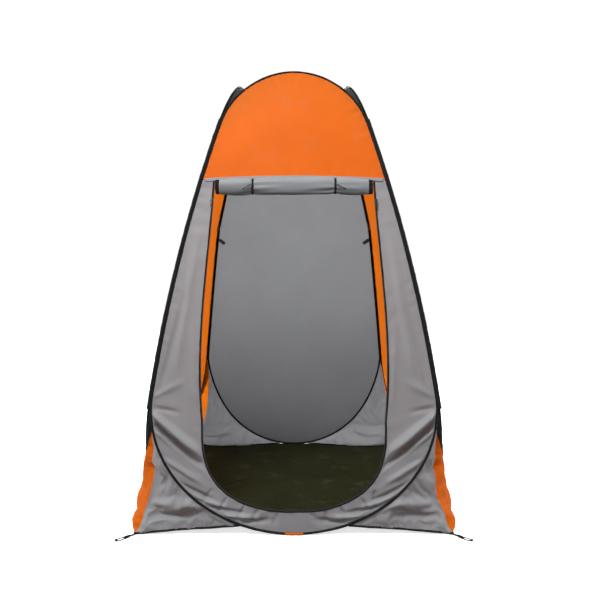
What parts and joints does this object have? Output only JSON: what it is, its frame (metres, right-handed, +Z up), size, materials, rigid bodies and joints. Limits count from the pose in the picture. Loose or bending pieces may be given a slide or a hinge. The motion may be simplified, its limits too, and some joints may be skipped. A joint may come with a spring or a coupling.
{
  "type": "pop-up privacy shower tent",
  "caption": "Tall square pop-up changing tent with bowed spring-hoop walls, a rounded crown, corner gussets and an open arched doorway with its door rolled up.",
  "frame": {"origin": "centre of the square base, on the ground", "axes": "+Z up, the doorway faces -Y, +X to the right seen from the front"},
  "size_m": [1.3416, 1.3416, 1.8897],
  "materials": {
    "orange_cloth": "satin",
    "grey_cloth": "satin",
    "charcoal_cloth": "satin",
    "olive_groundsheet": "satin",
    "black_binding": "matte",
    "black_webbing": "matte",
    "charcoal_webbing": "matte",
    "spring_steel": "satin",
    "zip_metal": "satin",
    "toggle_plastic": "matte"
  },
  "bodies": {
    "front": {"front_hoop_wire": "spring_steel", "front_wire_ferrule": "spring_steel", "front_hoop_sleeve": "black_binding", "front_top_panel": "orange_cloth", "front_wall_panel": "grey_cloth", "front_seam_tape": "grey_cloth", "front_gusset_left": "grey_cloth", "front_gusset_right": "grey_cloth", "front_hem": "black_binding", "front_left_corner_tape": "black_binding", "front_right_corner_tape": "black_binding", "roof_panel": "charcoal_cloth", "ground_sheet": "olive_groundsheet", "door_edge_binding": "black_binding", "door_roll": "grey_cloth", "door_roll_zip_ends": "black_binding", "roll_strap_left": "black_binding", "roll_strap_right": "black_binding", "hoop_patch": "orange_cloth"},
    "left": {"left_hoop_wire": "spring_steel", "left_wire_ferrule": "spring_steel", "left_hoop_sleeve": "black_binding", "left_wall_panel": "orange_cloth", "left_gusset_back": "orange_cloth", "left_gusset_front": "orange_cloth", "left_hem": "black_binding", "back_left_corner_tape": "black_binding"},
    "right": {"right_hoop_wire": "spring_steel", "right_wire_ferrule": "spring_steel", "right_hoop_sleeve": "black_binding", "right_wall_panel": "orange_cloth", "right_gusset_front": "orange_cloth", "right_gusset_back": "orange_cloth", "right_hem": "black_binding", "back_right_corner_tape": "black_binding"},
    "back": {"back_hoop_wire": "spring_steel", "back_wire_ferrule": "spring_steel", "back_hoop_sleeve": "black_binding", "back_top_panel": "orange_cloth", "back_wall_panel": "grey_cloth", "back_seam_tape": "grey_cloth", "back_gusset_right": "grey_cloth", "back_gusset_left": "grey_cloth", "back_hem": "black_binding", "inner_tab_left": "charcoal_webbing", "inner_tab_right": "charcoal_webbing"},
    "roll_toggle_left": {"roll_toggle_left": "toggle_plastic"},
    "roll_toggle_right": {"roll_toggle_right": "toggle_plastic"},
    "zip_slider_left": {"zip_slider_left": "zip_metal"},
    "zip_slider_right": {"zip_slider_right": "zip_metal"},
    "zip_pull_left": {"zip_pull_left": "zip_metal"},
    "zip_pull_right": {"zip_pull_right": "zip_metal"},
    "stake_loop_front_left": {"stake_loop_front_left": "black_webbing"},
    "stake_loop_front_right": {"stake_loop_front_right": "black_webbing"},
    "stake_loop_back_right": {"stake_loop_back_right": "black_webbing"},
    "stake_loop_back_left": {"stake_loop_back_left": "black_webbing"}
  },
  "joints": [
    {"name": "left_wall_fold", "type": "hinge", "parent": "front", "child": "left", "pos_m": [-0.66, -0.66, 0], "axis": [0.1744, 0.1744, 0.9691], "range_deg": [0, 88], "deforming": ["roof_panel", "ground_sheet"]},
    {"name": "right_wall_fold", "type": "hinge", "parent": "front", "child": "right", "pos_m": [0.6, -0.6, 0], "axis": [-0.1851, 0.1851, 0.9651], "range_deg": [0, 89.9]},
    {"name": "back_wall_fold", "type": "hinge", "parent": "left", "child": "back", "pos_m": [-0.585, 0.6, 0], "axis": [0.1769, -0.1854, 0.9666], "range_deg": [-89.9, 0]},
    {"name": "zip_slider_left_slide", "type": "slide", "parent": "front", "child": "zip_slider_left", "axis": [-0.0602, -0.2075, -0.9764], "range_m": [0, 0.4]},
    {"name": "zip_pull_left_swing", "type": "hinge", "parent": "zip_slider_left", "child": "zip_pull_left", "pos_m": [-0.33852, -0.42979, 1.29577], "axis": [-1, 0, 0], "range_deg": [0, 150]},
    {"name": "zip_slider_right_slide", "type": "slide", "parent": "front", "child": "zip_slider_right", "axis": [0.0602, -0.2075, -0.9764], "range_m": [0, 0.4]},
    {"name": "zip_pull_right_swing", "type": "hinge", "parent": "zip_slider_right", "child": "zip_pull_right", "pos_m": [0.33852, -0.42979, 1.29577], "axis": [-1, 0, 0], "range_deg": [0, 150]},
    {"name": "roll_toggle_left_swing", "type": "hinge", "parent": "front", "child": "roll_toggle_left", "pos_m": [-0.176, -0.42983, 1.36], "axis": [0, 1, 0], "range_deg": [-50, 50]},
    {"name": "roll_toggle_right_swing", "type": "hinge", "parent": "front", "child": "roll_toggle_right", "pos_m": [0.176, -0.42983, 1.36], "axis": [0, 1, 0], "range_deg": [-50, 50]},
    {"name": "stake_loop_front_left_swing", "type": "hinge", "parent": "front", "child": "stake_loop_front_left", "pos_m": [-0.61495, -0.61495, 0.0012], "axis": [-0.7071, 0.7071, 0], "range_deg": [0, 90]},
    {"name": "stake_loop_front_right_swing", "type": "hinge", "parent": "front", "child": "stake_loop_front_right", "pos_m": [0.61495, -0.61495, 0.0012], "axis": [-0.7071, -0.7071, 0], "range_deg": [0, 90]},
    {"name": "stake_loop_back_right_swing", "type": "hinge", "parent": "back", "child": "stake_loop_back_right", "pos_m": [0.61495, 0.61495, 0.0012], "axis": [0.7071, -0.7071, 0], "range_deg": [0, 90]},
    {"name": "stake_loop_back_left_swing", "type": "hinge", "parent": "back", "child": "stake_loop_back_left", "pos_m": [-0.61495, 0.61495, 0.0012], "axis": [0.7071, 0.7071, 0], "range_deg": [0, 90]}
  ],
  "couplings": [
    {"joint": "right_wall_fold", "follows": "left_wall_fold", "ratio": 1.02},
    {"joint": "back_wall_fold", "follows": "left_wall_fold", "ratio": -1.02}
  ]
}
